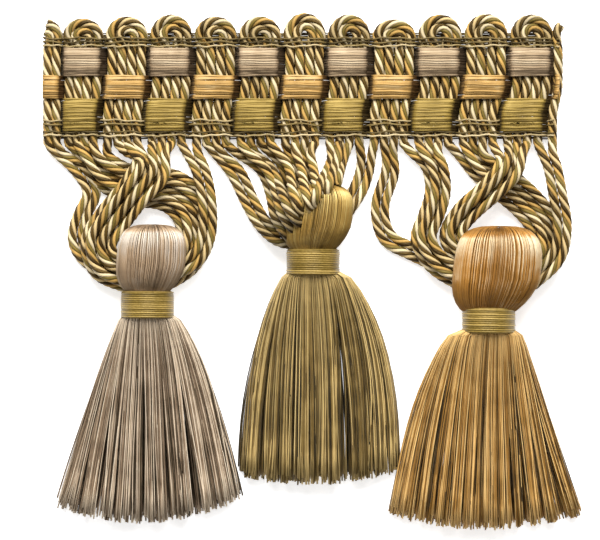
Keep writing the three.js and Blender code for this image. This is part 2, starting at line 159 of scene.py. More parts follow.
# Bundles of loose cords from the left end to the right: how many cords, then stations of the
# bundle's middle with x, y, z, the spacing of its cords and how far every second one rides up.
bundles = [
    (2, [[-47.5, 21.4, 0.85, 1.9, 0], [-44.4, 16.2, 0.85, 1.85, 0], [-46.3, 11.8, 0.85, 1.9, 0],
         [-47.5, 6.8, 0.85, 1.9, 0], [-45.5, 3.0, 0.85, 1.9, 0], [-41.2, 0.8, 0.85, 1.9, 0],
         [-36.7, -1.0, 0.85, 1.9, 0]]),
    (5, [[-42.2, 20.6, 1.8, 1.45, 1.8], [-35.8, 17.4, 1.8, 1.5, 1.6], [-28.9, 16.6, 1.8, 1.75, 1.0],
         [-24.6, 13.1, 1.8, 1.75, 0.9], [-23.6, 7.8, 1.8, 1.5, 1.4], [-25.9, 2.2, 1.8, 1.2, 1.8],
         [-29.9, -0.6, 2.2, 1.1, 1.8]]),
    (6, [[-32.3, 21.2, 5.3, 1.35, 1.8], [-35.9, 16, 5.4, 1.1, 1.8], [-40.1, 10.8, 3.8, 1.15, 1.8],
         [-43, 6.2, 3.5, 1.1, 1.8], [-41.9, 1.8, 3.5, 1.1, 1.8], [-36.3, -1, 3.8, 1, 1.8]]),
    (2, [[-22.7, 21, 3.6, 1.9, 0], [-21.3, 15, 4.6, 1.9, 0], [-21.3, 7.6, 4.6, 1.9, 0],
         [-23.5, 2.8, 4.6, 1.9, 0], [-28.3, 0.3, 4.6, 1.9, 0]]),
    (2, [[-15.6, 20.2, 0.95, 1.9, 0.1], [-12.8, 14.4, 1.2, 1.85, 0.1], [-10.2, 9.9, 2.2, 1.8, 0.1],
         [-6.6, 6.9, 4.6, 1.8, 0.1], [-0.4, 6.3, 6.4, 1.7, 0.1]]),
    (3, [[-9.6, 21.0, 1.8, 1.1, 1.8], [-7.6, 16.2, 1.8, 1.2, 1.5], [-6.2, 11.3, 2, 1.6, 0.6],
         [-3.2, 7.7, 3, 1.75, 0]]),
    (6, [[-3.1, 21.4, 1.8, 1.2, 1.8], [-2.5, 17.0, 1.8, 1.2, 1.8], [-0.9, 12.0, 3, 1.1, 1.8]]),
    (3, [[4.6, 22.2, 3.9, 1.15, 1.5], [3.0, 17.6, 5.6, 1.6, 0.4], [1.2, 12.2, 7.2, 1.7, 0]]),
    (2, [[10.5, 21.4, 0.95, 1.9, 0], [9.1, 17, 1.4, 1.9, 0], [5.5, 11.4, 3, 1.9, 0]]),
    (2, [[15.5, 20.6, 0.85, 1.9, 0], [13.3, 13, 0.85, 1.9, 0], [14.9, 7, 0.85, 1.9, 0],
         [19.7, 4.4, 0.85, 1.9, 0], [24.9, 1.9, 0.85, 1.9, 0], [32.5, -2.6, 0.85, 1.9, 0]]),
    (4, [[24.1, 21.6, 3.5, 1.15, 1.8], [24.9, 16.4, 3.5, 1.1, 1.8], [23.5, 11.4, 3.5, 1.1, 1.8],
         [21.9, 7, 3.5, 1.1, 1.8], [24.3, 2.4, 3.5, 1.1, 1.8], [32.1, -2.6, 3.8, 1, 1.8]]),
    (4, [[33.6, 21.2, 1.8, 1.4, 1.8], [38.1, 17.9, 1.8, 1.75, 0.9], [42.6, 14.1, 1.8, 1.75, 0.7],
         [46.2, 9.2, 1.8, 1.7, 0.9], [46.3, 3.8, 1.8, 1.3, 1.8], [40.9, -1.4, 2.2, 1, 1.8]]),
    (4, [[39.1, 21.2, 5.3, 1.4, 1.8], [34.9, 16.2, 5.4, 1.15, 1.8], [30.2, 11.9, 3.8, 1.15, 1.8],
         [27.7, 7.4, 3.5, 1.15, 1.8], [31.5, 1.4, 3.8, 1.1, 1.8]]),
    (2, [[47.7, 21.6, 3.2, 1.9, 0], [48.7, 15.8, 4.6, 1.9, 0], [49.7, 9.4, 4.6, 1.9, 0],
         [48.5, 3.2, 4.6, 1.9, 0], [42.1, -2.9, 4.6, 1.9, 0]]),
]

# Heads of the tassels: the middle and the half sizes of each, and the powers that make its upper
# and its lower half fuller than an ellipsoid's
heads = {
    "left": ((-32.1, 2.2, 6.3), (6.9, 7.5, 6.7)),
    "middle": ((1.5, 10.3, 6.3), (6.7, 7.4, 6.7)),
    "right": ((36.9, 0.0, 6.5), (8.8, 9.4, 6.9)),
}
head_fullness = (3.4, 2.1)


def smooth_curve(points, samples):
    """Centripetal curve through points: between two of them it is the cubic whose end slopes are
    weighed by the square roots of the gaps before, between and after them."""
    wide = np.concatenate([[2 * points[0] - points[1]], points, [2 * points[-1] - points[-2]]])
    gap = np.sqrt(np.linalg.norm(np.diff(wide, axis=0), axis=1))[:, None]
    before, here, after, beyond = wide[:-3], wide[1:-2], wide[2:-1], wide[3:]
    g0, g1, g2 = gap[:-2], gap[1:-1], gap[2:]
    slope_here = (here - before) / g0 - (after - before) / (g0 + g1) + (after - here) / g1
    slope_after = (after - here) / g1 - (beyond - here) / (g1 + g2) + (beyond - after) / g2
    slope_here, slope_after = slope_here * g1, slope_after * g1
    t = np.linspace(0.0, 1.0, samples)[None, :, None]
    a, b = here[:, None], after[:, None]
    m, n = slope_here[:, None], slope_after[:, None]
    cubic = 2 * a - 2 * b + m + n
    square = -3 * a + 3 * b - 2 * m - n
    return (((cubic * t + square) * t + m) * t + a)[:, :-1].reshape(-1, 3)


def even_steps(path, step):
    """The same path with its points spaced evenly, about `step` apart."""
    run = np.concatenate([[0.0], np.cumsum(np.linalg.norm(np.diff(path, axis=0), axis=1))])
    at = np.linspace(0.0, run[-1], max(8, round(run[-1] / step)))
    return np.stack([np.interp(at, run, path[:, i]) for i in range(3)], axis=1)


ease_step = 0.25
ease_points = 8


def eased(path):
    """The path with its bends rounded: each point becomes a weighted mean of its neighbours
    within 2 mm. Above its first point it goes on straight up, and past its last in line."""
    path = even_steps(path, ease_step)
    before = path[0] + np.array([0.0, ease_step, 0.0]) * np.arange(ease_points, 0, -1)[:, None]
    after = path[-1] + (path[-1] - path[-2]) * np.arange(1, ease_points + 1)[:, None]
    whole = np.concatenate([before, path, after])
    weights = np.hanning(2 * ease_points + 3)[1:-1] / np.hanning(2 * ease_points + 3).sum()
    return np.stack([np.convolve(whole[:, i], weights, mode="valid") for i in range(3)], axis=1)


def depth_in_heads(path):
    """Lowest value, over the heads, of ((dx/a)^n + (dy/b)^n + (dz/c)^n)^(1/n): below 1 is inside
    and at least half a millimetre under the floss. The power n is larger in a head's upper half."""
    skin = 0.5
    depth = np.full(len(path), np.inf)
    for middle, half in heads.values():
        power = np.where(path[:, 1] > middle[1], *head_fullness)[:, None]
        reach = np.abs((path - np.array(middle)) / (np.array(half) - skin))
        depth = np.minimum(depth, (reach**power).sum(axis=1) ** (1.0 / power[:, 0]))
    return depth


# The line across the middle head on which its cords vanish in the floss: a point and the slope
vanish_at = (-4.1, 7.6)
vanish_slope = 1.19


def laid_on_head(path, layer):
    """Cords of the middle tassel that lie over its head: their height is at least that of the
    head's surface, grown by most of a cord's radius and by the layer, with a ramp up to it, and
    over their last 2.2 mm before the slanting line they dive into the floss."""
    beside, above = 0.9, 0.75
    ramp_width, ramp_rise = 0.55, 0.5
    well_inside = 0.82
    dive_length, dive_depth = 2.2, 1.9
    level_mean = 12
    (x, y, z), (wide, long, high) = heads["middle"]
    power = np.where(path[:, 1] > y, *head_fullness)
    sideways = np.abs((path[:, 0] - x) / (wide + beside)) ** power
    reach = (sideways + np.abs((path[:, 1] - y) / (long + beside)) ** power) ** (1.0 / power)
    over = z + layer + (high + above) * (1.0 - np.minimum(reach, 1.0) ** power) ** (1.0 / power)
    ramp = (z + ramp_rise) * smooth((1.0 + ramp_width - reach) / ramp_width)
    level = np.maximum(path[:, 2], np.where(reach < 1.0, over, ramp))
    padded = np.concatenate([np.full(level_mean, level[0]), level, np.full(level_mean, level[-1])])
    level = np.convolve(padded, np.ones(2 * level_mean + 1) / (2 * level_mean + 1), mode="valid")
    line = vanish_at[1] + vanish_slope * (path[:, 0] - vanish_at[0])
    past = np.flatnonzero((path[:, 1] < line) & (reach < well_inside))
    stop = past[0] if len(past) else len(path)
    left = np.linalg.norm(path[:stop] - path[stop - 1], axis=1)
    dive = (dive_depth + layer) * smooth((dive_length - left) / dive_length)
    return np.column_stack([path[:stop, :2], level[:stop] - dive])


# A loose cord's first bend below the binding: how far down it is, and the shares of the way to
# its bundle's side place and to its layer that the cord has made there. Then the points of its
# curve from one station to the next, and how many points it goes on for inside a head.
bend_drop = 1.9
bend_shift = 0.3
bend_lift = 0.6
curve_samples = 40
head_entry = 5

# Where along the heading the bundles over the middle head start, where the right-hand ones of
# them do, and how much higher those lie
over_middle_head = (-12.0, 7.0)
right_hand_from = 4.0
right_hand_layer = 0.9


def loose_run(bundle, order, start_x):
    """Path of one loose cord from the binding down to its tassel's head, through one bend and
    then its own place at each station of the bundle. Of the bundles above the middle head, the
    single-layer ones and the upper cords of the others lie over it, those on the right on top.
    Any other cord ends a few points inside its head."""
    count, stations = bundle
    ride_up = -0.5 if order % 2 == 0 else 0.5
    sideways = order - (count - 1) / 2
    x, y, z, spacing, stagger = np.array(stations, float).T
    wide = np.stack([x, y], axis=1)
    along = np.empty_like(wide)
    along[1:-1] = wide[2:] - wide[:-2]
    along[0] = wide[1] - wide[0]
    along[-1] = wide[-1] - wide[-2]
    along = unit(along)
    places = np.stack([
        x - along[:, 1] * sideways * spacing,
        y + along[:, 0] * sideways * spacing,
        z + ride_up * stagger,
    ], axis=1)
    layered = [
        start_x + (x[0] - start_x) * bend_shift,
        loose_from - bend_drop,
        cord_level + (z[0] - cord_level) * bend_lift + ride_up * stagger[0],
    ]
    stops = np.array([[start_x, loose_from, cord_level], layered, *places])
    path = eased(smooth_curve(stops, curve_samples))
    if over_middle_head[0] < x[0] < over_middle_head[1] and (ride_up > 0 or stagger[-1] == 0):
        return laid_on_head(path, right_hand_layer if x[0] > right_hand_from else 0.0)
    inside = np.flatnonzero(depth_in_heads(path) < 1.0)
    return path[: inside[0] + head_entry] if len(inside) else path


cords_in_column = 4
middle_order = (cords_in_column - 1) / 2
pushed_in = 0.7


def heading_place(column, order):
    """Where a cord would stand in an even heading: column pitch times the column and cord pitch
    times its place in it. The last column, cut to one cord, is pushed in by 0.7 mm."""
    place = first_column + column * column_pitch + (order - middle_order) * cord_pitch
    return place - (pushed_in if column == last_column else 0.0)


def leaned(x, y):
    """Place along the heading as it was sewn. Its columns stand left of an even spacing, by
    1.2 mm at their tops, less towards the right end, and by 2.1 mm from the middle of the olive
    band down. The trim's left cut end hardly leans, and the foot of its right one only about
    half as much as the others. Each change is a soft step of x or y."""
    top_lean, foot_lean = 1.2, 2.1
    left_end, right_end = -56.0, 55.0
    kept_at_right = 0.15
    fade = 1.0 - (1.0 - kept_at_right) * smooth((x - 8.0) / 40.0)
    top = top_lean * smooth((x - left_end) / 12.0) * fade
    foot = foot_lean * smooth((x - left_end) / 16.0) * smooth((right_end - x) / 10.0)
    return x - top - (foot - top) * smooth((38.0 - y) / 7.0)


# The loose cord of every upright run, keyed by its column and its place in it. The cut ends keep
# the last two runs of the column before the first and the first run of the last column.
runs = {}
run_keys = [(-1, 2), (-1, 3)]
run_keys += [(column, order) for column in range(last_column) for order in range(cords_in_column)]
run_keys += [(last_column, 0)]
run_order = iter(run_keys)
for bundle in bundles:
    for order in range(bundle[0]):
        key = next(run_order)
        runs[key] = loose_run(bundle, order, leaned(heading_place(*key), loose_from))


def weave_rise(column, y):
    """How far a cord bulges to the front: where a band passes behind the column it rises by
    0.3 mm, and where one passes in front it stays down, by a cosine of the height whose half wave
    is the pitch of the bands. Above the top band it fades to the mean."""
    bulge, top_band, band_pitch, weave_top = 0.15, 42.2, 5.3, 46.5
    even = 1.0 if column % 2 == 0 else -1.0
    wave = np.cos((y - top_band) * np.pi / band_pitch)
    return bulge - bulge * even * wave * smooth((weave_top - y) / 2.0)


# How much higher or lower than the others each scallop was bent, from the left end on, how much
# wider than its column it is, and how far its inner cord is pressed against the outer one
scallop_lifts = [-0.3, -0.3, 0.1, 0.5, 0.1, 0.1, 0.8, 0.5, -0.5, 0.5, 0.6, 0.5, 0.2]
scallop_spread = 0.42
scallop_rise = 0.15
inner_squeeze = 0.24
bend_points = 24
upright_points = 60


def heading_path(column, radius, first_angle, last_angle):
    """Up one side of a column, round its scallop and down the other side, as upright runs that
    spread a little at their top and half an ellipse, all leaned as the heading is. A cut end of
    the trim keeps only a part of it."""
    centre = heading_place(column, middle_order)
    angle = np.linspace(first_angle, last_angle, bend_points)
    squeeze = inner_squeeze if radius < cord_pitch else 0.0
    height = radius + scallop_rise + squeeze + scallop_lifts[column + 1]
    bend = np.stack([
        centre + (radius + scallop_spread + squeeze) * np.cos(angle),
        scallop_centre + height * np.sin(angle),
        np.full(bend_points, cord_level + scallop_rise),
    ], axis=1)
    y = np.linspace(loose_from, scallop_centre, upright_points)[:-1]
    spread = radius + (scallop_spread + squeeze) * smooth((y - 44.4) / 3.4)
    level = cord_level + weave_rise(column, y) * smooth((y - loose_from) / 3.0)
    settled = smooth((y - 45.0) / 2.0)
    level += scallop_rise * settled - (level - cord_level) * settled
    up = np.stack([centre - spread, y, level], axis=1)
    down = np.stack([centre + spread, y, level], axis=1)[::-1]
    whole = [up] if first_angle == np.pi else []
    whole += [bend]
    whole += [down] if last_angle == 0 else []
    whole = np.concatenate(whole)
    whole[:, 0] = leaned(whole[:, 0], whole[:, 1])
    return whole


def cord_part(path, seed):
    """Six yarns on a left-hand helix about the cord's path: each lies at the path plus across * r * cos(a) +
    lift * r * sin(a), where a falls by one turn in each lay. The marks are the yarn's colour, how far a point
    faces outward, which sets the painted shade in the seams between the yarns, and the tone, which is darker
    in the scallops and, as painted shade, where cords lie tucked beside the middle tassel's head."""
    random = np.random.default_rng(seed)
    path = even_steps(path, cord_step)
    gone = np.concatenate([[0.0], np.cumsum(np.linalg.norm(np.diff(path, axis=0), axis=1))])
    direction = unit(np.gradient(path, axis=0))
    across = unit(np.cross(np.array([0.0, 0.0, 1.0]), direction))
    lift = np.cross(direction, across)
    start = random.uniform(0, 2 * np.pi) + 2 * np.pi * np.arange(yarns_in_cord)[:, None] / yarns_in_cord
    angle = start - 2 * np.pi * gone / (cord_lay * random.uniform(0.92, 1.08))
    outward = across * np.cos(angle)[..., None] + lift * np.sin(angle)[..., None]
    yarns = path + outward * (cord_radius - yarn_radius)
    points = rings(yarns, outward, yarn_radius * yarn_width, yarn_radius, yarn_sides, np.pi / 2)
    points[..., 2] = np.maximum(points[..., 2], floor_gap)
    colour = (np.arange(yarns_in_cord)[:, None, None] + 0.5) / yarns_in_cord
    facing = np.sin(np.pi / 2 + 2 * np.pi * np.arange(yarn_sides) / yarn_sides)
    tone = random.uniform(-1, 1) + random.uniform(-0.5, 0.5, (yarns_in_cord, 1, 1))
    # Painted shade: the tone is darkened where cords lie tucked beside the middle head; the scallops are
    # darkened as well.
    scallop_shade, tucked_shade = 1.3, 3.2
    in_scallop = smooth((path[:, 1] - 45.5) / 2.5)
    tucked = smooth((13.5 - path[:, 1]) / 4.0) * smooth((6.5 - np.abs(path[:, 0] + 6.0)) / 3.0)
    tone = tone - (scallop_shade * in_scallop + tucked_shade * tucked)[None, :, None]
    return thread_part(points, colour=colour, facing=facing, tone=tone)


# Viscose cord yarn: spun bright from endless filament, so it has a silky gleam along each yarn and clear
# colour differences from yarn to yarn. The nearly black seams between the yarns are painted shade, darkest
# where a yarn turns in towards the cord.
cord_viscose = bpy.data.materials.new("twisted_viscose_cord")
cord_viscose.use_nodes = True
cord_shader = cord_viscose.node_tree.nodes["Principled BSDF"]
yarn_mark = add_node(cord_viscose, "ShaderNodeAttribute", attribute_name="colour")
yarn_colours = add_node(cord_viscose, "ShaderNodeValToRGB", {"Fac": yarn_mark.outputs["Fac"]})
yarn_colours.color_ramp.interpolation = "CONSTANT"
cord_hexes = ["cbb993", "69592a", "a98649", "2e200b", "bba272", "493717"]
stops = yarn_colours.color_ramp.elements
for number, code in enumerate(cord_hexes):
    share = number / yarns_in_cord
    stop = stops[number] if number < len(stops) else stops.new(share)
    stop.position = share
    stop.color = linear(code)
# Painted shade: each yarn darkens, down to 0.08, as its surface turns in towards the cord, so the seams
# between yarns show nearly black.
painted_seam_mark = add_node(cord_viscose, "ShaderNodeAttribute", attribute_name="facing")
painted_seam_shade = add_node(cord_viscose, "ShaderNodeMapRange", {
    "Value": painted_seam_mark.outputs["Fac"], "From Min": -0.3, "From Max": 0.8, "To Min": 0.08, "To Max": 1.0,
})
cord_tone = add_node(cord_viscose, "ShaderNodeAttribute", attribute_name="tone")
cord_bright = add_node(cord_viscose, "ShaderNodeMapRange", {
    "Value": cord_tone.outputs["Fac"], "From Min": -3.5, "From Max": 1.5, "To Min": 0.5, "To Max": 1.23,
})
cord_shade = add_node(cord_viscose, "ShaderNodeMath", {
    0: painted_seam_shade.outputs["Result"], 1: cord_bright.outputs["Result"],
}, operation="MULTIPLY")
cord_dyed = add_node(cord_viscose, "ShaderNodeVectorMath", {
    0: yarn_colours.outputs["Color"], 1: cord_shade.outputs["Value"],
}, operation="MULTIPLY")
cord_viscose.node_tree.links.new(cord_dyed.outputs["Vector"], cord_shader.inputs["Base Color"])
# The filaments are drawn coarser than they are, about 0.17 mm wide and 1.4 mm long, so that
# they show as a fine grain.
cord_map = add_node(cord_viscose, "ShaderNodeUVMap", uv_map="thread")
cord_stretch = add_node(cord_viscose, "ShaderNodeMapping", {
    "Vector": cord_map.outputs["UV"], "Scale": (14.0, 0.7, 1.0), "Rotation": (0.0, 0.0, 0.12),
})
cord_fibres = add_node(cord_viscose, "ShaderNodeTexNoise", {
    "Vector": cord_stretch.outputs["Vector"], "Scale": 1.0, "Detail": 2.0,
})
cord_bump = add_node(cord_viscose, "ShaderNodeBump", {
    "Height": cord_fibres.outputs["Fac"], "Strength": 0.5, "Distance": 0.00012,
})
cord_gloss = add_node(cord_viscose, "ShaderNodeMapRange", {
    "Value": cord_fibres.outputs["Fac"], "To Min": 0.34, "To Max": 0.56,
})
cord_viscose.node_tree.links.new(cord_bump.outputs["Normal"], cord_shader.inputs["Normal"])
cord_viscose.node_tree.links.new(cord_gloss.outputs["Result"], cord_shader.inputs["Roughness"])
cord_shader.inputs["IOR"].default_value = 1.52
cord_shader.inputs["Specular IOR Level"].default_value = 0.3
cord_shader.inputs["Specular Tint"].default_value = linear("e9cc92")
cord_shader.inputs["Sheen Weight"].default_value = 0.05
cord_shader.inputs["Sheen Tint"].default_value = linear("f0dcae")
cord_shader.inputs["Sheen Roughness"].default_value = 0.4

# Where the cuts at the two ends of the trim part a scallop, and which columns a piece holds
left_cut = np.pi * 0.42
right_cut = np.pi * 0.75
cord_groups = {"cords_left": range(-1, 4), "cords_middle": range(4, 8), "cords_right": range(8, 12)}
for name, columns in cord_groups.items():
    parts = []
    for column in columns:
        first = left_cut if column == -1 else np.pi
        last = right_cut if column == last_column else 0.0
        for ply, (near, far) in enumerate([(0, 3), (1, 2)]):
            if column == last_column and ply == 1:
                continue
            path = heading_path(column, (middle_order - ply) * cord_pitch, first, last)
            if (column, near) in runs:
                path = np.concatenate([runs[column, near][:0:-1], path])
            if (column, far) in runs:
                path = np.concatenate([path, runs[column, far][1:]])
            parts.append(cord_part(path, seed=100 + 10 * column + ply))
    add_piece(name, parts, cord_viscose, "twisted_cord", "cords")


# Floss bands: flat bundles of fine viscose floss, woven lengthwise over one column of cords and
# behind the next one, in taupe, gold and olive rows like a basket weave.
def floss(name, dark, middle, light, fibres, roughness, streak):
    """Bright viscose floss, untwisted filament yarn, which gleams in long streaks. Its colour
    goes from dark through middle to light by the thread's own tone, a slow change of 4 mm and
    streaks along the fibres, which add or take off as much as `streak` and vary the roughness
    about the given one. `fibres` is how many streaks there are round a thread and along 1 mm."""
    made = bpy.data.materials.new(name)
    made.use_nodes = True
    shader = made.node_tree.nodes["Principled BSDF"]
    tone = add_node(made, "ShaderNodeAttribute", attribute_name="tone")
    place = add_node(made, "ShaderNodeTexCoord")
    drift = add_node(made, "ShaderNodeTexNoise", {
        "Vector": place.outputs["Object"], "Scale": 250.0, "Detail": 2.0,
    })
    drift_part = add_node(made, "ShaderNodeMapRange", {
        "Value": drift.outputs["Fac"], "From Min": 0.3, "From Max": 0.7, "To Min": -0.1, "To Max": 0.1,
    })
    thread_map = add_node(made, "ShaderNodeUVMap", uv_map="thread")
    stretch = add_node(made, "ShaderNodeMapping", {"Vector": thread_map.outputs["UV"], "Scale": fibres})
    streaks = add_node(made, "ShaderNodeTexNoise", {
        "Vector": stretch.outputs["Vector"], "Scale": 1.0, "Detail": 2.0,
    })
    streak_part = add_node(made, "ShaderNodeMapRange", {
        "Value": streaks.outputs["Fac"], "From Min": 0.3, "From Max": 0.7,
        "To Min": -streak, "To Max": streak,
    })
    both = add_node(made, "ShaderNodeMath", {
        0: drift_part.outputs["Result"], 1: streak_part.outputs["Result"],
    })
    level = add_node(made, "ShaderNodeMath", {0: tone.outputs["Fac"], 1: both.outputs["Value"]})
    colours = add_node(made, "ShaderNodeValToRGB", {"Fac": level.outputs["Value"]})
    colours.color_ramp.elements[0].color = linear(dark)
    colours.color_ramp.elements[1].color = linear(light)
    colours.color_ramp.elements.new(0.5).color = linear(middle)
    bump = add_node(made, "ShaderNodeBump", {
        "Height": streaks.outputs["Fac"], "Strength": 0.45, "Distance": 0.0001,
    })
    gloss = add_node(made, "ShaderNodeMapRange", {
        "Value": streaks.outputs["Fac"], "To Min": roughness - 0.09, "To Max": roughness + 0.12,
    })
    made.node_tree.links.new(colours.outputs["Color"], shader.inputs["Base Color"])
    made.node_tree.links.new(bump.outputs["Normal"], shader.inputs["Normal"])
    made.node_tree.links.new(gloss.outputs["Result"], shader.inputs["Roughness"])
    shader.inputs["IOR"].default_value = 1.52
    shader.inputs["Specular IOR Level"].default_value = 0.45
    shader.inputs["Specular Tint"].default_value = linear("eed6a4")
    shader.inputs["Sheen Weight"].default_value = 0.08
    shader.inputs["Sheen Tint"].default_value = linear("f4e2bc")
    shader.inputs["Sheen Roughness"].default_value = 0.4
    return made


# The heading's two ends, at the outer sides of its first and its last cord, and the points of
# a thread between them, with how strongly they bunch up where the threads change sides
cord_half = 1.0
heading_left = first_column - column_pitch + 0.5 * cord_pitch - cord_half
heading_right = heading_place(last_column, 0) + cord_half
thread_points = 236
bunching = 0.6


def heading_stations():
    """Places along the even heading, closer together between the columns, where threads change
    sides, and the phase of each, which grows by pi from one column to the next."""
    steady = np.linspace(heading_left, heading_right, thread_points)
    turn = 2 * np.pi * (steady - first_column) / column_pitch
    x = steady + bunching * np.sin(turn) * column_pitch / (2 * np.pi)
    return x, np.pi * (x - first_column) / column_pitch


floss_pitch = 0.27
floss_half_width = 0.31
floss_half_height = 0.12
floss_lowest = 0.3
float_rise = 1.42
steep, slow_fall = 6.0, 2.5
straight_up = np.array([0.0, 0.0, 1.0])
off_axis = 0.001

# Rows: name, lower and upper edge, 1 where the even columns are covered and -1 where the odd ones are,
# colours and finish. A float rises steeply at its left and sinks slowly at its right, and its tone is
# darkened as painted shade where it sinks, most on the right. Its threads wander by two sines of x, and its
# middle ones stand higher.
band_rows = [
    ("floats_taupe", 39.45, 45.1, 1.0, ("2e2319", "8c775e", "bba98d"), "taupe_floss"),
    ("floats_gold", 34.85, 39.35, -1.0, ("3a250e", "a27e46", "ceb688"), "gold_floss"),
    ("floats_olive", 28.6, 34.75, 1.0, ("261b06", "7d672d", "b59c5a"), "olive_floss"),
]
for number, (name, lower, upper, side, hexes, finish) in enumerate(band_rows):
    node = name.replace("floats", "band")
    random = np.random.default_rng(20 + number)
    threads = round((upper - lower) / floss_pitch)
    x, phase = heading_stations()
    falling = side * np.sin(phase) > 0
    front = side * np.tanh(np.where(falling, slow_fall, steep) * np.cos(phase))
    v = np.linspace(-1.0, 1.0, threads)[:, None] + random.normal(0, 0.03, (threads, 1))
    slow = np.sin(x[None] * 0.35 + random.uniform(0, 6.3, (threads, 1)))
    quick = np.sin(x[None] * 1.1 + random.uniform(0, 6.3, (threads, 1)))
    spread = 1.02 - 0.02 * np.abs(front)
    half_width = (upper - lower) / 2 - 0.15
    y = (lower + upper) / 2 + v * spread * half_width + 0.07 * slow + 0.03 * quick
    crown = (0.38 - 0.3 * v**2) * np.maximum(front, 0.0) + random.uniform(-0.05, 0.05, (threads, 1))
    z = cord_level + float_rise * front + crown
    paths = np.stack([leaned(x, y), y, np.maximum(z, floss_lowest)], axis=-1)
    points = rings(paths, straight_up + off_axis, floss_half_width, floss_half_height, 4, np.pi / 4)
    # Painted shade: the tone falls where the float dips between the columns, fully on its falling right side
    # and by half on its rising left.
    shade = 0.9 * smooth((0.93 - front) / 0.6) * np.where(falling, 1.0, 0.5)
    tone = 0.48 + random.normal(0, 0.11, (threads, 1, 1)) - shade[None, :, None]
    add_piece(name, [thread_part(points, tone=tone)],
              floss(f"{finish}_viscose", *hexes, (4.0, 0.35, 1.0), 0.48, 0.1), finish, node)


# Binding threads: fine twisted viscose thread that locks the cords above and below the bands.
# Pairs are twined across the heading, one thread of each always in front. Single threads cross
# the columns that the olive band leaves free, and a close weft lies behind the two edges.
binding_viscose = floss("twined_binding_thread", "2e240e", "715f37", "b5a47f", (5.0, 0.8, 1.0), 0.45, 0.12)
binding_half_width = 0.19
binding_half_height = 0.17
binding_rise = 1.33
weft_pitch = 0.3
weft_level = 0.5
weft_inset = 0.6
weft_points = 80

# A piece: its name, the level of each row with its number of threads, and the weft's two edges
for name, rows, weft, nodes in [
    ("twining_top", [(45.4, 2), (46.15, 2), (46.9, 2)], (44.8, 48.3), ["binding_top"]),
    ("twining_low", [(27.5, 2), (28.15, 2), (29.7, 1), (30.5, 1)], (27.0, 28.8), []),
]:
    levels = np.arange(*weft, weft_pitch)[:, None]
    across = np.linspace(heading_left + weft_inset, heading_right - weft_inset, weft_points)
    height = levels + 0.06 * np.sin(across + 7 * levels)
    behind = np.stack(np.broadcast_arrays(leaned(across, height), height, weft_level), axis=-1)
    points = rings(behind, straight_up, binding_half_width, binding_half_height, 4, np.pi / 4)
    # The weft behind the cords takes a low tone, painted shade.
    parts = [thread_part(points, tone=0.1 + 0.1 * np.sin(9 * levels)[..., None])]
    for number, (level, paired) in enumerate(rows):
        random = np.random.default_rng(40 + round(level * 10))
        x, phase = heading_stations()
        wave = np.tanh(steep * np.cos(phase))
        front = np.stack([-wave, wave])[:paired]
        y = level + 0.14 * np.sin(2 * np.pi * (x - first_column) / column_pitch + number)
        y = y + 0.09 * np.sin(x * random.uniform(1.1, 2.3, (paired, 1)) + random.uniform(0, 6, (paired, 1)))
        z = cord_level + binding_rise * front
        paths = np.stack([leaned(x, y), y, z], axis=-1)
        points = rings(paths, straight_up + off_axis, binding_half_width, binding_half_height, 5)
        tone = 0.5 + random.normal(0, 0.3, (paired, 1, 1))
        parts.append(thread_part(points, tone=tone))
    add_piece(name, parts, binding_viscose, "binding_thread", *nodes)


# Tassels: a head of floss folded down over a ball, a neck bound with thread, and a cut skirt of
# the same floss. The skirt spreads into a flat fan where it lies on the table.

# Rows: the neck's middle, top and bottom; the skirt's left corner, lowest middle and right
# corner; how early its left and right sides widen; how far they stand out below the neck; and
# the dark, middle and light colours of the head and of the skirt
tassel_rows = {
    "left": {
        "neck": (-33.1, -3.6, -9.0),
        "hem": ([-51.6, -46.6], [-32.7, -49.6], [-14.0, -44.8]),
        "fullness": (0.2, 0.45),
        "shoulder": (0.6, 1.3),
        "head": ("4a3829", "aa9073", "d0cabf"),
        "skirt": ("21170f", "89735d", "dccab1"),
        "finish": "taupe_floss",
    },
    "middle": {
        "neck": (-0.1, 4.8, -0.4),
        "hem": ([-15.3, -40.4], [0.9, -41.9], [17.4, -39.4]),
        "fullness": (0.75, 0.95),
        "shoulder": (1.1, 2.3),
        "head": ("463309", "a28141", "d9c683"),
        "skirt": ("180f03", "715b30", "ceb377"),
        "finish": "olive_floss",
    },
    "right": {
        "neck": (34.9, -6.8, -12.0),
        "hem": ([15.0, -48.0], [34.1, -51.0], [54.0, -48.2]),
        "fullness": (0.58, 0.15),
        "shoulder": (2.9, 1.9),
        "head": ("4c2e0c", "ab7835", "ecdfbd"),
        "skirt": ("231304", "956b2f", "e2bc7a"),
        "finish": "gold_floss",
    },
}
neck_level = 5.5
neck_squash = 0.96
gathered_radius = 4.55
dimple = 0.02
head_steps = 15
head_yarns = 34
head_yarn_half_height = 0.12
lining_yarns = 24
lining_depth = 0.42
lining_floor_gap = 0.05


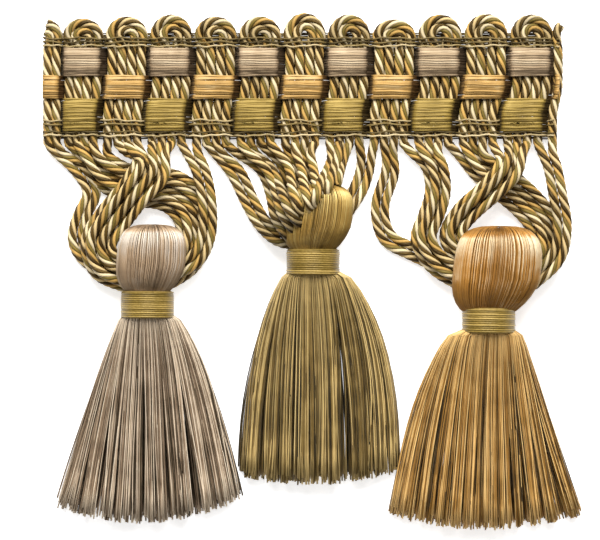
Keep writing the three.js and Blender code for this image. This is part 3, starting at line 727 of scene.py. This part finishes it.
def head_paths(tassel, places, shrink, random):
    """Meridians of a full ellipsoid, from the dimple at its top to its neck. At the share t the
    place is the middle plus the half sizes times (cos b, -, sin b) * |sin p|^(2/n) and
    |cos p|^(2/n) along the length, and the middle slides to the neck's axis on the way down."""
    (x, y, z), (wide, long, high) = heads[tassel]
    neck_x, neck_top, _ = tassel_rows[tassel]["neck"]
    last = np.pi - np.arcsin((gathered_radius / wide) ** (head_fullness[1] / 2))
    t = np.linspace(0.0, 1.0, head_steps)[None]
    p = dimple + (last - dimple) * t
    power = np.where(np.cos(p) > 0, *head_fullness)
    out = np.abs(np.sin(p)) ** (2 / power)
    run = np.sign(np.cos(p)) * np.abs(np.cos(p)) ** (2 / power)
    sway = random.normal(0, 0.018, (len(places), 1)) * np.sin(np.pi * t)
    b = places[:, None] + sway
    slide = smooth((t - 0.45) / 0.55)
    rise = z + (neck_level - z) * slide
    paths = np.stack([
        x + (neck_x - x) * slide + (wide - shrink) * out * np.cos(b),
        y + (long - shrink) * run * np.ones_like(b),
        rise + (high - shrink) * out * np.sin(b),
    ], axis=-1)
    tail = paths[:, -1:].copy()
    tail[..., 1] = neck_top - 1.2
    tail[..., 0] = neck_x + (tail[..., 0] - neck_x) * 0.99
    return np.concatenate([paths, tail], axis=1), np.array([x, y, z])


# A yarn's tone is brightest a third of the way down, a painted highlight where the lamp strikes the floss
# square on, and darker at the rim above and towards the neck, which is painted shade. A lining closes the
# head under the yarns, painted dark as shade.
for number, (tassel, row) in enumerate(tassel_rows.items()):
    random = np.random.default_rng(60 + number)
    count = round(heads[tassel][1][0] * head_yarns)
    places = 2 * np.pi * (np.arange(count) + random.uniform(-0.25, 0.25, count)) / count
    paths, middle = head_paths(tassel, places, head_yarn_half_height, random)
    outward = unit(paths - middle)
    wide = np.linalg.norm((paths - middle)[..., [0, 2]], axis=-1) * np.pi / count * 1.25
    points = rings(paths, outward, np.maximum(wide, 0.03), head_yarn_half_height, 3, np.pi / 2)
    points[..., 2] = np.maximum(points[..., 2], floor_gap)
    share = np.minimum(np.arange(head_steps + 1) / (head_steps - 1), 1.0)[None, :, None]
    # Painted shade at the rim round the dimple and over the lower half; between them the tone stays high as a
    # painted highlight.
    painted_rim_shade = 0.65 * smooth((0.38 - share) / 0.16)
    painted_lower_shade = 0.42 * smooth((share - 0.34) / 0.4)
    tone = 0.85 + random.normal(0, 0.1, (count, 1, 1)) - painted_rim_shade - painted_lower_shade
    # The lining's low tone is painted shade under the yarns.
    round_it = 2 * np.pi * np.arange(lining_yarns) / lining_yarns
    lining, _ = head_paths(tassel, round_it, lining_depth, np.random.default_rng(1))
    shell = lining.transpose(1, 0, 2)[None, :, ::-1].copy()
    shell[..., 2] = np.maximum(shell[..., 2], lining_floor_gap)
    parts = [thread_part(points, tone=tone), thread_part(shell, tone=0.25)]
    add_piece(f"head_{tassel}", parts,
              floss(f"{row['finish']}_head", *row["head"], (3.0, 0.3, 1.0), 0.38, 0.06),
              row["finish"], f"tassel_{tassel}")


# Necks: olive-gold thread wound tightly round the floss, turn beside turn. The winding shows as fine level
# ridges, with a painted highlight along the crest of each; thicker turns are lighter too.
neck_viscose = floss("wound_neck_thread", "3b2e0b", "735e27", "a98e4f", (60.0, 2.8, 1.0), 0.38, 0.12)
winding_pitch = 0.42
winding_sides = 72
winding_rows = 5
inner_radius = 4.75
winding_thickness = 0.42
ridge = 0.16
for number, (tassel, row) in enumerate(tassel_rows.items()):
    neck_x, top, bottom = row["neck"]
    random = np.random.default_rng(80 + number)
    turns = round((top - bottom) / winding_pitch)
    along = np.linspace(0.0, 1.0, turns * winding_rows + 1)
    around = 2 * np.pi * np.arange(winding_sides) / winding_sides
    phase = along[:, None] * turns + around[None] / (2 * np.pi)
    edge = smooth(along / 0.05) * smooth((1 - along) / 0.05)
    swell = random.uniform(-0.06, 0.06, turns + 3)[np.floor(phase).astype(int)]
    relief = winding_thickness + ridge * np.abs(np.sin(np.pi * phase)) + swell
    radius = inner_radius + relief * edge[:, None]
    points = np.stack([
        neck_x + radius * np.cos(around),
        np.broadcast_to((top + (bottom - top) * along)[:, None], radius.shape),
        neck_level + radius * neck_squash * np.sin(around),
    ], axis=-1)
    # Painted highlight: the tone rises towards each turn's crest.
    tone = 0.3 + 0.4 * np.abs(np.sin(np.pi * phase)) + 4.0 * swell
    add_piece(f"wrap_{tassel}", [thread_part(points[None, :, ::-1], tone=tone[None, :, ::-1])],
              neck_viscose, "neck_thread", f"neck_{tassel}")


# Skirts: over nine hundred cut yarns of floss a tassel, in three depths above and one below.
# They leave the neck as a round sheaf, fall to the floor within half of their length and lie
# there as a low mound. The yarns gather into locks towards the hem, with grooves between them.
skirt_steps = 12
skirt_share = np.linspace(0.0, 1.0, skirt_steps)[None] ** 1.35
sheaf_radius = 4.6
tucked_in = 1.0
mound_height = 4.3
foot_height = 0.5
belly_height = 1.0
hem_level = 0.35
lowest_yarn = 0.2
floss_locks = 26


def skirt_paths(row, side, u, pull, depth, random):
    """Path of each yarn. Its place across goes from u to u + pull, and at the share t it lies at
    x = neck + (hem - neck) * (t + fullness * (1 - (1 - t)^3 - t)), pushed out just below the
    neck by the shoulder times sin(u * pi / 2) * (1 - t)^3, and y straight down. Its height is
    that of the neck's circle, cos(u * pi / 2) up or down, which falls to a low mound with a flat
    foot by t = 0.5, and the mound's belly is 1 mm higher."""
    neck_x, _, bottom = row["neck"]
    left, middle, right = (np.array(corner) for corner in row["hem"])
    t = skirt_share
    each = (len(u), 1)
    u, side, depth = u[:, None] + pull[:, None] * smooth(t / 0.9), side[:, None], depth[:, None]
    span = u * (1.0 - 0.05 * (1 - depth))
    hem = middle + (right - left) / 2 * span[..., None] + ((right + left) / 2 - middle) * span[..., None] ** 2
    start_x = neck_x + sheaf_radius * depth * np.sin(u * np.pi / 2)
    start_y = bottom + tucked_in
    end_y = hem[..., 1] - random.uniform(-1.8, 0.35, each) * (0.6 + 0.4 * depth) + 1.6 * (0.9 - depth)
    full = row["fullness"][0] * (0.5 - u / 2) + row["fullness"][1] * (0.5 + u / 2)
    open_out = t + full * (1 - (1 - t) ** 3 - t)
    wave = np.sin(t * random.uniform(2, 7, each) + random.uniform(0, 6, each))
    wave = wave * random.normal(0, 0.22, each) * t
    shoulder = row["shoulder"][0] * (0.5 - u / 2) + row["shoulder"][1] * (0.5 + u / 2)
    shoulder = shoulder * np.sin(u * np.pi / 2) * smooth(t / 0.05) * (1 - t) ** 3
    x = start_x + (hem[..., 0] - start_x) * open_out + shoulder + wave
    y = start_y + (end_y - start_y) * t
    settle = (1 - np.clip(t / 0.5, 0, 1)) ** 2
    arch_neck = np.cos(u * np.pi / 2)
    arch_hem = (1 - np.abs(u) ** 2.6) ** 0.6
    neck_z = neck_level + side * sheaf_radius * neck_squash * depth * arch_neck
    hem_z = hem_level + np.where(side > 0, mound_height, foot_height) * depth * arch_hem
    belly = belly_height * np.where(side > 0, depth * arch_hem, 0.0) * np.sin(np.pi * t) ** 2
    z = hem_z + (neck_z - hem_z) * settle + belly
    return np.stack([x, y, np.maximum(z, lowest_yarn)], axis=-1)


# Shells of yarns: how many, whether they arch up or hang below, how deep they lie, what their tone adds,
# which for the deeper shells and the one below is painted shade, and how far they are drawn to their lock
shells = [
    (430, 1.0, 1.0, 0.03, 1.0),
    (250, 1.0, 0.72, -0.22, 0.8),
    (110, 1.0, 0.4, -0.35, 0.0),
    (150, -1.0, 0.9, -0.35, 0.0),
]
for number, (tassel, row) in enumerate(tassel_rows.items()):
    random = np.random.default_rng(90 + number)
    locks = np.sort(random.uniform(-0.94, 0.94, floss_locks))
    parts = []
    for count, side, depth, tone_added, drawn in shells:
        u = -1 + 2 * (np.arange(count) + random.uniform(0.1, 0.9, count)) / count
        nearest = locks[np.abs(u[:, None] - locks[None]).argmin(axis=1)]
        pull = (nearest - u) * random.uniform(0.15, 0.65, count) * drawn
        depths = depth - random.uniform(0, 0.16, count)
        paths = skirt_paths(row, np.full(count, side), u, pull, depths, random)
        t = skirt_share
        up = np.array([0.0, off_axis, 1.0])
        points = rings(paths, up, 0.1 + 0.09 * t, 0.1 + 0.06 * t, 3, np.pi / 2)
        points[..., 2] = np.maximum(points[..., 2], 0.02)
        # Painted light: the tone is raised just below the neck as a painted highlight and at the cut ends
        # near the hem, and it falls a little down to the middle of the skirt.
        painted_neck_highlight = 0.45 * smooth(1 - t / 0.18)
        painted_hem_light = 0.3 * smooth((t - 0.86) / 0.14)
        along = (painted_neck_highlight + painted_hem_light - 0.14 * smooth(t / 0.5))[..., None]
        # The deeper shells and the one below are darkened as painted shade.
        tone = 0.62 + tone_added + random.normal(0, 0.3, (count, 1, 1)) + along
        parts.append(thread_part(points, tone=tone))
    add_piece(f"skirt_{tassel}", parts,
              floss(f"{row['finish']}_skirt", *row["skirt"], (3.0, 0.12, 1.0), 0.42, 0.12),
              row["finish"], f"tassel_{tassel}")


# Studio: a white table under soft light, with one large lamp beyond the heading, as the bright
# upper halves of the heads and the soft shade below the skirts show in the photograph. The table
# is a board of opal acrylic lit from below, which keeps the shade under the trim pale.
table_mesh = bpy.data.meshes.new("table")
half = 1.5
corners = [(-half, -half, 0), (half, -half, 0), (half, half, 0), (-half, half, 0)]
table_mesh.from_pydata(corners, [], [(0, 1, 2, 3)])
table = bpy.data.objects.new("table", table_mesh)
bpy.context.scene.collection.objects.link(table)
# Opal acrylic: matt, white all through, and even in its glow
white_board = bpy.data.materials.new("opal_acrylic_light_board")
white_board.use_nodes = True
board_shader = white_board.node_tree.nodes["Principled BSDF"]
board_shader.inputs["Base Color"].default_value = linear("f4f4f4")
board_shader.inputs["Roughness"].default_value = 0.8
board_shader.inputs["Emission Color"].default_value = (1.0, 1.0, 1.0, 1.0)
board_shader.inputs["Emission Strength"].default_value = 0.6
table_mesh.materials.append(white_board)

lamp_place = Vector((0.0, 0.45, 0.4))
lamp_data = bpy.data.lights.new("softbox_far", "AREA")
lamp_data.size = 0.5
lamp_data.energy = 9.8
lamp = bpy.data.objects.new("softbox_far", lamp_data)
lamp.location = lamp_place
lamp.rotation_euler = (-lamp_place).to_track_quat("-Z", "Y").to_euler()
bpy.context.scene.collection.objects.link(lamp)
surround = bpy.data.worlds.new("pale_surround")
surround.use_nodes = True
surround.node_tree.nodes["Background"].inputs["Color"].default_value = (1.0, 1.0, 1.0, 1.0)
surround.node_tree.nodes["Background"].inputs["Strength"].default_value = 0.36
bpy.context.scene.world = surround
bpy.context.scene.view_settings.view_transform = "Standard"
